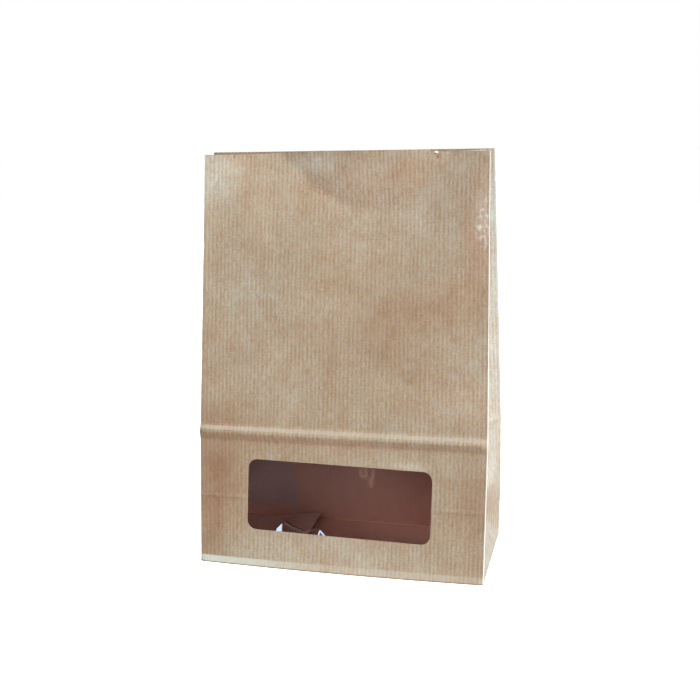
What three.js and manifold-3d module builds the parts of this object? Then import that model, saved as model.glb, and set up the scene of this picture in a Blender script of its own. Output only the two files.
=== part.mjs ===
// A block-bottom paper bag for bread, empty and standing open, with a clear window low in its front wall.
// Millimetres, +Z up. The window side faces -Y, and the origin is the middle of the base, on the table.
// A point of a wall is named by x across it and s, the length of paper up from the table.
import * as THREE from 'three';
import { mergeVertices } from 'three/addons/utils/BufferGeometryUtils.js';
import Module from 'manifold-3d';

// The folded bag
const WIDTH = 180;
const DEPTH = 84;
const WALL_LENGTH = 255;
const PAPER = 0.8;
const FRONT_LEAN = 34.1; // how far the top of the front wall has come in over the base
const BACK_LEAN = 31.6;
const BACK_RISE = 0.7; // the back wall's cut edge stands this much higher
const TOP_NARROWING = 1.9; // each side, because the curved lip takes up paper
const RIDGE_WIDENING = 0.8; // each side
const BACK_WIDENING = 1.0; // each side, over the flatter back wall
const EDGE_BOW = 2.2; // the bottom folds swell by this much in the middle
const EDGE_BOW_HEIGHT = 8;

// The belt of the old fold, left all round by the edge of the base when the bag was packed flat
const RIDGE_AT = 83.6;
const RIDGE_REACH = 5;
const RIDGE_HEIGHT = 1.2;

// The side gussets
const APEX_DROP = 5; // the inner fold starts this much lower than the outer ones
const APEX_DROP_AT_TOP = 2;
const FOLD_ROUND = 1.5; // half the width of the rounded inner fold
const FOLD_EASE = 0.7; // how far the inner fold is eased back towards its two flanks

// The lip of the front wall: a curved crease, with the paper above it bent forward again
const LIP_X = 22;
const LIP_CREASE_AT = 221.2;
const LIP_RISE_LEFT = 0.0087; // the crease climbs by this times the square of the distance from LIP_X
const LIP_RISE_RIGHT = 0.017;
const LIP_DENT = 4;
const LIP_DENT_REACH = 80;
const LIP_FORWARD_SLOPE = 0.19;
const LIP_EXTRA = 1.3; // the cut edge stands higher where the lip curls
const LIP_EXTRA_REACH = 25;
const LIP_LEFT = -39;
const LIP_RIGHT = 60;
const LIP_SOFT_END = 15;
const LIP_SHARP_END = 10;

// The glued seam up the back wall
const SEAM_WIDTH = 15;
const SEAM_STEP = 0.4;
const SEAM_EDGE = 0.3;
const SEAM_SLOPE = 2.5;

// The flaps pasted over each other under the base
const FLAP_STEP = 0.4;
const FLAP_INSET = 0.3;
const FLAP_OVERLAP = 15;
const FLAP_BITE = 0.3;
const BASE_Z = 2 * FLAP_STEP;

// The window and the clear film behind it
const WINDOW_WIDTH = 116;
const WINDOW_HEIGHT = 44.4;
const WINDOW_RADIUS = 6;
const WINDOW_X = -0.4;
const WINDOW_S = 44.5;
const WINDOW_TURN = THREE.MathUtils.degToRad(-0.85);
const CUT_DEPTH = 6;
const FILM_MARGIN = 8;
const FILM_THICKNESS = 0.3;
const FILM_GAP = 0.3;
const FILM_RADIUS = 3;
const CURVE_STEPS = 6;

// Rows and columns of the folded sheet
const OFFSET_STIFFNESS = 1e-3; // keeps the inset of a flat stretch from sliding along it
const COLUMN_STEP = 10;
const GUSSET_STEP = 10.5;
const ROWS_TO_RIDGE = [52, 62, 72, RIDGE_AT - RIDGE_REACH, RIDGE_AT, RIDGE_AT + RIDGE_REACH];
const ROWS_TO_LIP = [100, 116, 132, 148, 164, 180, 194, 208, 218, 228, 238, 247];

const HALF_WIDTH = WIDTH / 2;
const HALF_DEPTH = DEPTH / 2;
const { lerp, smoothstep } = THREE.MathUtils;

// How much of the old fold's ridge is felt at s: 1 on it, 0 away from it.
function ridge(s) {
  return Math.max(0, 1 - Math.abs(s - RIDGE_AT) / RIDGE_REACH);
}

// Half the width of the bag at s.
function halfWidth(s) {
  if (s < RIDGE_AT) return HALF_WIDTH + RIDGE_WIDENING * s / RIDGE_AT;
  const share = (s - RIDGE_AT) / (WALL_LENGTH - RIDGE_AT);
  return HALF_WIDTH + lerp(RIDGE_WIDENING, -TOP_NARROWING, share);
}

// How far the side edges of the back wall stand out past the front wall's.
function backExtra(s) {
  return BACK_WIDENING * Math.min(1, s / HALF_DEPTH);
}

// How far the bottom fold swells outwards.
function edgeBow(across, s) {
  return EDGE_BOW * (1 - across * across) * Math.exp(-s / EDGE_BOW_HEIGHT);
}

// How far the front wall stands back from flat round the curved crease of the lip; negative is forward.
function lipDent(x, s, across) {
  const away = x - LIP_X;
  const rise = away < 0 ? LIP_RISE_LEFT : LIP_RISE_RIGHT;
  const crease = LIP_CREASE_AT + rise * away * away;
  const fade = 1 - Math.pow(Math.abs(across), 3);
  if (s <= crease) return fade * LIP_DENT * smoothstep(s, crease - LIP_DENT_REACH, crease);
  return fade * (LIP_DENT - LIP_FORWARD_SLOPE * (s - crease));
}

// How much higher the cut edge stands at x where the lip curls.
function lipExtra(x, s) {
  const fromLeft = smoothstep(x, LIP_LEFT - LIP_SOFT_END, LIP_LEFT + LIP_SOFT_END);
  const toRight = 1 - smoothstep(x, LIP_RIGHT - LIP_SHARP_END, LIP_RIGHT);
  return LIP_EXTRA * fromLeft * toRight * smoothstep(s, WALL_LENGTH - LIP_EXTRA_REACH, WALL_LENGTH);
}

// The outer face of the front wall.
function frontPoint(x, s) {
  const across = x / HALF_WIDTH;
  const share = s / WALL_LENGTH;
  const height = Math.sqrt(1 - Math.pow(FRONT_LEAN / WALL_LENGTH, 2)) * s;
  const out = edgeBow(across, s) + RIDGE_HEIGHT * ridge(s) - lipDent(x, s, across);
  const y = -HALF_DEPTH + FRONT_LEAN * share - out;
  return new THREE.Vector3(across * halfWidth(s), y, height + lipExtra(x, s));
}

// How far the glued seam stands out of the back wall: a step on one side, a slope on the other.
function seam(x, s) {
  const half = SEAM_WIDTH / 2;
  const stepDown = 1 - smoothstep(x, half, half + SEAM_EDGE);
  return SEAM_STEP * smoothstep(x, -half - SEAM_SLOPE, -half) * stepDown * smoothstep(s, 0, EDGE_BOW_HEIGHT);
}

// The outer face of the back wall.
function backPoint(x, s) {
  const across = x / HALF_WIDTH;
  const share = s / WALL_LENGTH;
  const height = Math.sqrt(1 - Math.pow(BACK_LEAN / WALL_LENGTH, 2)) * s;
  const out = edgeBow(across, s) + RIDGE_HEIGHT * ridge(s) + seam(x, s);
  const wide = across * (halfWidth(s) + backExtra(s));
  return new THREE.Vector3(wide, HALF_DEPTH - BACK_LEAN * share + out, height + BACK_RISE * share);
}

// The inner fold of the right gusset, from its apex up.
function innerFold(s) {
  const front = frontPoint(HALF_WIDTH, s);
  const back = backPoint(HALF_WIDTH, s);
  const share = (s - HALF_DEPTH) / (WALL_LENGTH - HALF_DEPTH);
  const drop = lerp(APEX_DROP, APEX_DROP_AT_TOP, share);
  const halfGap = (back.y - front.y) / 2;
  const tuck = Math.sqrt(HALF_DEPTH * HALF_DEPTH - halfGap * halfGap - drop * drop);
  const middle = front.lerp(back, 0.5);
  return new THREE.Vector3(middle.x - tuck, middle.y, middle.z - drop);
}

// The sharp-folded right gusset at t, the length of paper from its front fold. Below the apex the paper
// has three facets: a triangle standing on the base, and one on each side of it under the flanks.
function sharpGusset(t, s) {
  const fromFold = Math.min(t, DEPTH - t);
  const outerFold = t < HALF_DEPTH ? frontPoint : backPoint;
  if (s >= HALF_DEPTH) return outerFold(HALF_WIDTH, s).lerp(innerFold(s), fromFold / HALF_DEPTH);
  const apex = innerFold(HALF_DEPTH);
  if (s >= fromFold) {
    const across = apex.sub(outerFold(HALF_WIDTH, HALF_DEPTH)).multiplyScalar(fromFold / HALF_DEPTH);
    return outerFold(HALF_WIDTH, s).add(across);
  }
  const foot = new THREE.Vector3(HALF_WIDTH, 0, 0);
  return foot.clone().lerp(apex, s / HALF_DEPTH).add(new THREE.Vector3(0, t - HALF_DEPTH, 0));
}

// The right gusset, with its inner fold eased round.
function gussetPoint(t, s) {
  const point = sharpGusset(t, s);
  if (t !== HALF_DEPTH || s < HALF_DEPTH) return point;
  const flanks = sharpGusset(t - FOLD_ROUND, s).lerp(sharpGusset(t + FOLD_ROUND, s), 0.5);
  return point.lerp(flanks, FOLD_EASE);
}

function mirrored(point) {
  return new THREE.Vector3(-point.x, point.y, point.z);
}

// Columns across a wall: even steps, with one more at each line of the seam.
function wallColumns() {
  const half = SEAM_WIDTH / 2;
  const columns = [-half, half, half + SEAM_EDGE];
  for (let x = -HALF_WIDTH; x <= HALF_WIDTH; x += COLUMN_STEP) columns.push(x);
  return columns.sort((a, b) => a - b);
}

// Columns across a gusset. The rows below the apex repeat their spacing, so the slanting folds fall on
// the diagonals of the cells.
function gussetColumns() {
  const firstHalf = [];
  for (let t = 0; t < HALF_DEPTH - FOLD_ROUND; t += GUSSET_STEP) firstHalf.push(t);
  firstHalf.push(HALF_DEPTH - FOLD_ROUND);
  return [...firstHalf, HALF_DEPTH, ...firstHalf.map((t) => DEPTH - t).reverse()];
}

const columnsX = wallColumns();
const columnsT = gussetColumns();
const lowRows = columnsT.filter((t) => t > 0 && t <= HALF_DEPTH);
const rows = [BASE_Z, ...lowRows, ...ROWS_TO_RIDGE, ...ROWS_TO_LIP, WALL_LENGTH];

// One level of the bag's outer face, as a closed ring of points, anticlockwise from above. The lowest
// one is level, because the base is pasted flat there.
function ringAt(s) {
  const front = columnsX.slice(0, -1).map((x) => frontPoint(x, s));
  const right = columnsT.slice(0, -1).map((t) => gussetPoint(t, s));
  const back = columnsX.slice(1).reverse().map((x) => backPoint(x, s));
  const left = columnsT.slice(1).reverse().map((t) => mirrored(gussetPoint(t, s)));
  const ring = [...front, ...right, ...back, ...left];
  if (s === BASE_Z) ring.forEach((point) => point.setZ(BASE_Z));
  return ring;
}

// The four lengths of a ring: each starts at this place in it.
function ringStarts() {
  const wall = columnsX.length - 1;
  const gusset = columnsT.length - 1;
  return { right: wall, back: wall + gusset, left: 2 * wall + gusset, length: 2 * (wall + gusset) };
}

// True where a cell splits from its upper left to its lower right, along the gusset's slanting folds.
function splitsDown(column) {
  const starts = ringStarts();
  const half = (columnsT.length - 1) / 2;
  const inRight = column >= starts.right && column < starts.back;
  const inLeft = column >= starts.left;
  return (inRight && column - starts.right >= half) || (inLeft && column - starts.left >= half);
}

function pushCell(faces, a, b, c, d, down) {
  if (down) faces.push([a, b, d], [b, c, d]);
  else faces.push([a, b, c], [a, c, d]);
}

// The cells of the walls, between each ring of points and the next one up.
function wallFaces(around) {
  const faces = [];
  for (let row = 0; row < rows.length - 1; row += 1) {
    for (let column = 0; column < around; column += 1) {
      const next = (column + 1) % around;
      const low = row * around;
      const high = low + around;
      pushCell(faces, low + column, low + next, high + next, high + column, splitsDown(column));
    }
  }
  return faces;
}

// The cells of the base. Its edge is the lowest ring, and the points inside it are added to the list.
function baseFaces(points, starts) {
  const lastX = columnsX.length - 1;
  const lastT = columnsT.length - 1;
  const added = new Map();
  function indexAt(i, j) {
    if (j === 0) return i;
    if (i === lastX) return starts.right + j;
    if (j === lastT) return starts.back + (lastX - i);
    if (i === 0) return starts.left + (lastT - j);
    const key = i * columnsT.length + j;
    if (!added.has(key)) {
      added.set(key, points.length);
      points.push(points[i].clone().lerp(points[starts.back + (lastX - i)], columnsT[j] / DEPTH));
    }
    return added.get(key);
  }
  const faces = [];
  for (let i = 0; i < lastX; i += 1) {
    for (let j = 0; j < lastT; j += 1) {
      pushCell(faces, indexAt(i, j), indexAt(i, j + 1), indexAt(i + 1, j + 1), indexAt(i + 1, j), false);
    }
  }
  return faces;
}

// The step from a point of the outer face to the inner face: the one that leaves the same thickness of
// paper behind every face that meets there.
function insetSteps(points, faces, thickness) {
  const sums = points.map(() => ({ matrix: new Array(9).fill(0), side: new THREE.Vector3() }));
  for (const face of faces) {
    const [a, b, c] = face.map((index) => points[index]);
    const normal = b.clone().sub(a).cross(c.clone().sub(a)).normalize();
    const parts = normal.toArray();
    for (const index of face) {
      const sum = sums[index];
      sum.matrix = sum.matrix.map((value, k) => value + parts[Math.floor(k / 3)] * parts[k % 3]);
      sum.side.addScaledVector(normal, -thickness);
    }
  }
  return sums.map(({ matrix, side }) => {
    const stiffened = matrix.map((value, k) => value + (k % 4 === 0 ? OFFSET_STIFFNESS : 0));
    return side.clone().applyMatrix3(new THREE.Matrix3().fromArray(stiffened).invert());
  });
}

// The sheet as a closed solid: outer face, inner face and the cut edge at the mouth.
function paperShell() {
  const starts = ringStarts();
  const around = starts.length;
  const points = rows.flatMap(ringAt);
  const outer = [...wallFaces(around), ...baseFaces(points, starts)];
  const steps = insetSteps(points, outer, PAPER);
  const inner = points.map((point, index) => point.clone().add(steps[index]));
  const count = points.length;
  const faces = [...outer, ...outer.map(([a, b, c]) => [count + a, count + c, count + b])];
  const mouth = (rows.length - 1) * around;
  for (let column = 0; column < around; column += 1) {
    const a = mouth + column;
    const b = mouth + (column + 1) % around;
    inner[a].z = points[a].z;
    pushCell(faces, a, b, count + b, count + a, false);
  }
  return solidGeometry([...points, ...inner], faces);
}

function solidGeometry(points, faces) {
  const geometry = new THREE.BufferGeometry();
  const positions = points.flatMap((point) => point.toArray());
  geometry.setAttribute('position', new THREE.Float32BufferAttribute(positions, 3));
  geometry.setIndex(faces.flat());
  return geometry;
}

// A rounded rectangle centred on the origin.
function roundedRectangle(width, height, radius) {
  const x = width / 2;
  const y = height / 2;
  const shape = new THREE.Shape();
  shape.moveTo(-x + radius, -y);
  shape.lineTo(x - radius, -y);
  shape.absarc(x - radius, -y + radius, radius, -Math.PI / 2, 0, false);
  shape.lineTo(x, y - radius);
  shape.absarc(x - radius, y - radius, radius, 0, Math.PI / 2, false);
  shape.lineTo(-x + radius, y);
  shape.absarc(-x + radius, y - radius, radius, Math.PI / 2, Math.PI, false);
  shape.lineTo(-x, -y + radius);
  shape.absarc(-x + radius, -y + radius, radius, Math.PI, 1.5 * Math.PI, false);
  return shape;
}

// The frame of the window: its middle on the outer face, x across, y up the wall, z out of it.
function windowFrame() {
  const slope = Math.asin(FRONT_LEAN / WALL_LENGTH);
  const across = new THREE.Vector3(1, 0, 0);
  const up = new THREE.Vector3(0, Math.sin(slope), Math.cos(slope));
  const out = across.clone().cross(up);
  const middle = frontPoint(WINDOW_X, WINDOW_S);
  const frame = new THREE.Matrix4().makeBasis(across, up, out).setPosition(middle);
  return frame.multiply(new THREE.Matrix4().makeRotationZ(WINDOW_TURN));
}

// A plate of the window's outline, lying between two depths behind the outer face.
function windowPlate(margin, radius, nearDepth, farDepth) {
  const shape = roundedRectangle(WINDOW_WIDTH + 2 * margin, WINDOW_HEIGHT + 2 * margin, radius);
  const settings = { depth: farDepth - nearDepth, bevelEnabled: false, curveSegments: CURVE_STEPS };
  const geometry = new THREE.ExtrudeGeometry(shape, settings);
  geometry.translate(0, 0, -farDepth);
  return geometry.applyMatrix4(windowFrame());
}

// One flap under the base: its outer edge follows the swelling of the bottom fold, and it narrows at 45
// degrees to the middle line, then runs straight past it.
function baseFlap(side, bottom) {
  const halfDepth = HALF_DEPTH - FLAP_INSET;
  const halfWide = HALF_WIDTH - FLAP_INSET;
  const halfNarrow = halfWide - halfDepth;
  const shape = new THREE.Shape();
  shape.moveTo(-halfWide, -halfDepth);
  shape.quadraticCurveTo(0, -halfDepth - 2 * EDGE_BOW, halfWide, -halfDepth);
  shape.lineTo(halfNarrow, 0);
  shape.lineTo(halfNarrow, FLAP_OVERLAP);
  shape.lineTo(-halfNarrow, FLAP_OVERLAP);
  shape.lineTo(-halfNarrow, 0);
  const depth = BASE_Z + FLAP_BITE - bottom;
  const geometry = new THREE.ExtrudeGeometry(shape, { depth, bevelEnabled: false });
  geometry.translate(0, 0, bottom);
  return side < 0 ? geometry : geometry.rotateZ(Math.PI);
}

const wasm = await Module();
wasm.setup();

// A closed mesh with its shared vertices merged, as a solid that can be cut and joined.
function toSolid(geometry) {
  geometry.deleteAttribute('normal');
  geometry.deleteAttribute('uv');
  const merged = mergeVertices(geometry);
  const vertProperties = new Float32Array(merged.getAttribute('position').array);
  const triVerts = new Uint32Array(merged.getIndex().array);
  return new wasm.Manifold(new wasm.Mesh({ numProp: 3, vertProperties, triVerts }));
}

function fromSolid(solid) {
  const mesh = solid.getMesh();
  const geometry = new THREE.BufferGeometry();
  geometry.setAttribute('position', new THREE.BufferAttribute(new Float32Array(mesh.vertProperties), 3));
  geometry.setIndex(new THREE.BufferAttribute(new Uint32Array(mesh.triVerts), 1));
  return geometry;
}

// The bag: the folded sheet, its base flaps joined on and the window cut through its front wall.
function bagGeometry() {
  const solid = toSolid(paperShell())
    .add(toSolid(baseFlap(-1, 0)))
    .add(toSolid(baseFlap(1, FLAP_STEP)))
    .subtract(toSolid(windowPlate(0, WINDOW_RADIUS, -CUT_DEPTH, CUT_DEPTH)));
  return fromSolid(solid);
}

function filmGeometry() {
  const near = PAPER + FILM_GAP;
  return windowPlate(FILM_MARGIN, FILM_RADIUS, near, near + FILM_THICKNESS);
}

function part(name, geometry, material) {
  geometry.computeVertexNormals();
  const mesh = new THREE.Mesh(geometry, new THREE.MeshStandardMaterial(material));
  mesh.name = name;
  return mesh;
}

const bag = new THREE.Group();
bag.add(part('bag', bagGeometry(), { color: 0xb2916c, roughness: 0.85, metalness: 0, flatShading: true }));
bag.add(part('window_film', filmGeometry(), {
  color: 0xe8ecf0, roughness: 0.1, metalness: 0, transparent: true, opacity: 0.25,
}));

export default bag;
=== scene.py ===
"""A block-bottom paper bread bag with a clear window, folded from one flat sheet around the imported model.

The bag's own sizes are in millimetres and are turned into metres where a mesh is made. A place on the
flat sheet is u, across it from the outer edge of the back seam, and s, up it from the bottom fold; below
the bottom fold s is negative. +Z is up and the window side faces -Y.
"""

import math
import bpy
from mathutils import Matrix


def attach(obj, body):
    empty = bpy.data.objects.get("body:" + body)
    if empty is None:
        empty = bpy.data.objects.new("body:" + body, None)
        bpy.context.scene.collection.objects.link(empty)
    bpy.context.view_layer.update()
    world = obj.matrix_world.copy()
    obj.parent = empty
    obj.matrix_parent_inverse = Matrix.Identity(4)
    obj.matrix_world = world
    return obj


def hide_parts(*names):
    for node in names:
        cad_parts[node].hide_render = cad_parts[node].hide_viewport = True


bl_info = {
    "name": "Paper Bread Bag",
    "version": (1, 0, 0),
    "blender": (4, 5, 0),
    "location": "View3D > Sidebar > Paper Bag",
    "description": "Folds a block-bottom paper bread bag with a clear window",
    "category": "Add Mesh",
}

import bpy
import numpy as np
from bpy.props import FloatProperty, FloatVectorProperty, PointerProperty
from mathutils import Matrix, Vector, noise

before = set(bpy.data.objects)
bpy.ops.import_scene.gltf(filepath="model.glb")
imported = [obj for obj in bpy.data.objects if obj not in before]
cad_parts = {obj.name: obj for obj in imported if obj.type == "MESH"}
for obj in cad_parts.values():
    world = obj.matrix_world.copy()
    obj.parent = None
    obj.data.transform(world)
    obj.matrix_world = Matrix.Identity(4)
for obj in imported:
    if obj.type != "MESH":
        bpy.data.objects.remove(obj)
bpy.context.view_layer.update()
MM = 0.001

# The folded bag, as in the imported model
HALF_WIDTH = 90
DEPTH = 84
HALF_DEPTH = DEPTH / 2
WALL_LENGTH = 255
FRONT_LEAN = 34.1
BACK_LEAN = 31.6
BACK_RISE = 0.7
TOP_NARROWING = 1.9
RIDGE_WIDENING = 0.8
BACK_WIDENING = 1.0
EDGE_BOW = 2.2
EDGE_BOW_HEIGHT = 8
RIDGE_AT = 83.6
RIDGE_REACH = 5
RIDGE_HEIGHT = 1.2
APEX_DROP = 5
APEX_DROP_AT_TOP = 2

# The curved crease under the lip of the front wall
LIP_X = 22
LIP_CREASE_AT = 221.2
LIP_RISE_LEFT = 0.0087
LIP_RISE_RIGHT = 0.017
LIP_DENT = 4
LIP_DENT_REACH = 80
LIP_FORWARD_SLOPE = 0.19
LIP_EXTRA = 1.3
LIP_EXTRA_REACH = 25
LIP_LEFT = -39
LIP_RIGHT = 60
LIP_SOFT_END = 15
LIP_SHARP_END = 10

# The strip pressed outwards along the front's bottom fold
FOOT_CREASE = 4.5
FOOT_OUT = 0.8
FOOT_FADE = 2

# The back seam, where the two edges of the sheet lap over each other
LAP = 7.5
LAP_GAP = 0.3
LAP_SLOPE = 2.5

# The flaps under the base, each this far above the table
FLAP_LENGTH = 57
FRONT_FLAP_Z = 0
BACK_FLAP_Z = 0.3
SIDE_FLAP_Z = 0.7
SIDE_FLAP_FADE = 4
FLAP_LIFT_LEFT = 5
FLAP_LIFT_RIGHT = 0.8
FLAP_LIFT_FROM = 20

# Rounding of the folds
FOLD_ROUND = 0.4
INNER_FOLD_ROUND = 1.5
FOLD_SAMPLES = (-1, -0.5, 0, 0.5, 1)

# The window
WINDOW_X = -0.4
WINDOW_S = 44.5
WINDOW_TURN = math.radians(-0.85)
WINDOW_CORNER_STEPS = 10
CUTTER_DEPTH = 12

# Where the flat sheet's folds are
BACK_LEFT = LAP + HALF_WIDTH
FRONT_LEFT = BACK_LEFT + DEPTH
FRONT_RIGHT = FRONT_LEFT + 2 * HALF_WIDTH
BACK_RIGHT = FRONT_RIGHT + DEPTH
SHEET_END = BACK_RIGHT + HALF_WIDTH + LAP
FRONT_MIDDLE = FRONT_LEFT + HALF_WIDTH
UPRIGHT_FOLDS = (BACK_LEFT, FRONT_LEFT, FRONT_RIGHT, BACK_RIGHT)
INNER_FOLDS = (BACK_LEFT + HALF_DEPTH, FRONT_RIGHT + HALF_DEPTH)

# Rows and columns of the sheet
FINE_STEPS = (0, 0.4, 1)
CELL = 2
COARSE_CELL = 3
ROW_CELL = 2.2
LAST_STEP = 1
EDGE_ROWS = (0.5, 1, 1.6, 2.4, 3.4)
SIDE_CREASE_ROWS = (-0.8, 0.1, 0.9, 1.6, 2.4)
RIDGE_ROWS = (-6, -5, -4, -2.5, -1, -0.3, 0.3, 1, 2.5, 4, 5, 6)
ABOVE_SIDE_CREASE = 4
BELOW_RIDGE_ROWS = 1
NICKS = (-70.6, 57.9)
NICK_COLUMNS = (-1.6, -0.8, -0.1, 0.6, 1.3)

# The camera, solved from the bag's folds in the photograph
CAMERA_PLACE = (0.1596, -0.6152, 0.2672)
CAMERA_AZIMUTH = math.radians(14.54)
CAMERA_PITCH = math.radians(12.09)
CAMERA_ROLL = math.radians(-1.17)
CAMERA_LENS = 53.32
SENSOR = 36
CLIP_START = 0.01

PAPER_SMOOTH_ANGLE = math.radians(40)
FILM_SMOOTH_ANGLE = math.radians(60)


def smoothstep(value, low, high):
    share = np.clip((value - low) / (high - low), 0, 1)
    return share * share * (3 - 2 * share)


def lerp(low, high, share):
    return low + (high - low) * share


def point(x, y, z):
    return np.stack(np.broadcast_arrays(x, y, z), axis=-1)


# ---------------------------------------------------------------- the folded bag


def ridge(s):
    """The belt of the old fold, left by the edge of the base when the bag was packed flat."""
    return np.maximum(0, 1 - np.abs(s - RIDGE_AT) / RIDGE_REACH)


def half_width(s):
    above = lerp(RIDGE_WIDENING, -TOP_NARROWING, (s - RIDGE_AT) / (WALL_LENGTH - RIDGE_AT))
    return HALF_WIDTH + np.where(s < RIDGE_AT, RIDGE_WIDENING * s / RIDGE_AT, above)


def edge_bow(across, s):
    return EDGE_BOW * (1 - across * across) * np.exp(-s / EDGE_BOW_HEIGHT)


def lip_dent(x, s, across):
    """How far the front wall stands back round the curved crease under its lip."""
    away = x - LIP_X
    crease = LIP_CREASE_AT + np.where(away < 0, LIP_RISE_LEFT, LIP_RISE_RIGHT) * away * away
    fade = 1 - np.abs(across) ** 3
    below = LIP_DENT * smoothstep(s, crease - LIP_DENT_REACH, crease)
    above = LIP_DENT - LIP_FORWARD_SLOPE * (s - crease)
    return fade * np.where(s <= crease, below, above)


def lip_extra(x, s):
    from_left = smoothstep(x, LIP_LEFT - LIP_SOFT_END, LIP_LEFT + LIP_SOFT_END)
    to_right = 1 - smoothstep(x, LIP_RIGHT - LIP_SHARP_END, LIP_RIGHT)
    return LIP_EXTRA * from_left * to_right * smoothstep(s, WALL_LENGTH - LIP_EXTRA_REACH, WALL_LENGTH)


def foot_band(x, s):
    """The front wall's lowest strip, pressed outwards below a sharp crease."""
    inward = smoothstep(HALF_WIDTH - np.abs(x), 0, FOOT_FADE)
    return inward * FOOT_OUT * np.maximum(0, 1 - s / FOOT_CREASE)


def front_point(x, s):
    """The front wall, and below the bottom fold its flap, which lies lowest."""
    up = np.maximum(s, 0)
    across = x / HALF_WIDTH
    out = edge_bow(across, up) + RIDGE_HEIGHT * ridge(up) - lip_dent(x, up, across) + foot_band(x, up)
    y = -HALF_DEPTH + FRONT_LEAN * up / WALL_LENGTH - out + (up - s)
    height = math.sqrt(1 - (FRONT_LEAN / WALL_LENGTH) ** 2) * up
    return point(across * half_width(up), y, FRONT_FLAP_Z + height + lip_extra(x, up))


def back_point(x, s):
    """The back wall, and below the bottom fold its flap."""
    up = np.maximum(s, 0)
    across = x / HALF_WIDTH
    share = up / WALL_LENGTH
    wide = half_width(up) + BACK_WIDENING * np.minimum(1, up / HALF_DEPTH)
    out = edge_bow(across, up) + RIDGE_HEIGHT * ridge(up)
    height = math.sqrt(1 - (BACK_LEAN / WALL_LENGTH) ** 2) * up + BACK_RISE * share
    level = BACK_FLAP_Z * (1 - smoothstep(up, 0, EDGE_BOW_HEIGHT))
    return point(across * wide, HALF_DEPTH - BACK_LEAN * share + out - (up - s), height + level)


def inner_fold(s):
    """The inner fold of the right gusset, from its apex up."""
    front = front_point(np.full_like(s, HALF_WIDTH), s)
    back = back_point(np.full_like(s, HALF_WIDTH), s)
    drop = lerp(APEX_DROP, APEX_DROP_AT_TOP, (s - HALF_DEPTH) / (WALL_LENGTH - HALF_DEPTH))
    half_gap = (back[..., 1] - front[..., 1]) / 2
    tuck = np.sqrt(HALF_DEPTH**2 - half_gap**2 - drop**2)
    middle = (front + back) / 2
    return middle - point(tuck, 0, drop)


def gusset_point(t, s):
    """The right gusset at t, the length of paper from its front fold. Below the apex the paper has three
    facets: a triangle standing on the base, and one on each side of it under the flanks."""
    t = np.clip(t, 0, DEPTH)
    up = np.maximum(s, 0)
    from_fold = np.minimum(t, DEPTH - t)
    edge = np.full_like(up, HALF_WIDTH)
    outer = np.where((t < HALF_DEPTH)[..., None], front_point(edge, up), back_point(edge, up))
    high = np.maximum(up, HALF_DEPTH)
    share = (from_fold / HALF_DEPTH)[..., None]
    flank = outer + (inner_fold(high) - outer) * share
    apex = inner_fold(np.full_like(up, HALF_DEPTH))
    middle_edge = np.full_like(up, HALF_DEPTH)
    in_front = (t < HALF_DEPTH)[..., None]
    outer_middle = np.where(in_front, front_point(edge, middle_edge), back_point(edge, middle_edge))
    side = outer + (apex - outer_middle) * share
    foot = point(HALF_WIDTH, 0.0, 0.0)
    triangle = foot + (apex - foot) * (up / HALF_DEPTH)[..., None] + point(0, t - HALF_DEPTH, 0)
    below_apex = np.where((up >= from_fold)[..., None], side, triangle)
    wall = np.where((up >= HALF_DEPTH)[..., None], flank, below_apex)
    raised = SIDE_FLAP_Z * smoothstep(from_fold, 0, SIDE_FLAP_FADE) * (1 - smoothstep(up, 0, EDGE_BOW_HEIGHT))
    wall = wall + point(0, 0, raised)
    return wall - point(up - s, 0, 0)


def sheet_point(u, s):
    """Where a place of the flat sheet goes when the bag is folded: the outer face of the paper."""
    front = front_point(u - FRONT_MIDDLE, s)
    right = gusset_point(u - FRONT_RIGHT, s)
    left = gusset_point(FRONT_LEFT - u, s) * (-1, 1, 1)
    upright = smoothstep(s, 0, EDGE_BOW_HEIGHT)
    outer_x = LAP - u
    outer_lap = LAP_GAP * smoothstep(outer_x, -LAP - LAP_SLOPE, -LAP) * upright
    back_left = back_point(outer_x, s) + point(0, outer_lap, 0)
    inner_x = HALF_WIDTH - (u - BACK_RIGHT)
    inner_lap = LAP_GAP * (1 - smoothstep(inner_x, LAP, LAP + LAP_SLOPE)) * (1 - upright)
    back_right = back_point(inner_x, s) + point(0, -inner_lap * (s >= 0), inner_lap * (s < 0))
    panels = [
        (u < BACK_LEFT)[..., None],
        (u < FRONT_LEFT)[..., None],
        (u <= FRONT_RIGHT)[..., None],
        (u <= BACK_RIGHT)[..., None],
    ]
    return np.select(panels, [back_left, left, front, right], back_right)


def folded(u, s):
    """The sheet with every fold rounded: each place is the mean of its surroundings on the sharp form."""
    to_inner = np.minimum.reduce([np.abs(u - fold) for fold in INNER_FOLDS])
    at_inner = (to_inner < 2 * INNER_FOLD_ROUND) * (s > HALF_DEPTH)
    reach = FOLD_ROUND + (INNER_FOLD_ROUND - FOLD_ROUND) * at_inner
    reach_u = np.where(s < FOLD_ROUND, 0, reach)
    total = 0
    for du in FOLD_SAMPLES:
        for ds in FOLD_SAMPLES:
            total = total + sheet_point(u + du * reach_u, s + ds * FOLD_ROUND)
    return total / len(FOLD_SAMPLES) ** 2


# ---------------------------------------------------------------- the sheet's relief


def soft_noise(u, s, across, along, seed):
    """Smooth noise from -1 to 1, with bumps of about these lengths across and along the sheet."""
    places = np.stack([u / across, s / along, np.full_like(u, seed)], axis=-1)
    return np.array([noise.noise(Vector(place)) for place in places])


def bump(x, s, at_x, at_s, reach_x, reach_s):
    return np.exp(-(((x - at_x) / reach_x) ** 2) - ((s - at_s) / reach_s) ** 2)


# The soft swellings of every panel: length across and along, seed and share
CRUMPLES = (
    (42, 55, 3.7, 0.75),
    (17, 24, 8.2, 0.35),
)
CRUMPLE_FADE_ACROSS = 8
CRUMPLE_FADE_ALONG = 6

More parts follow.
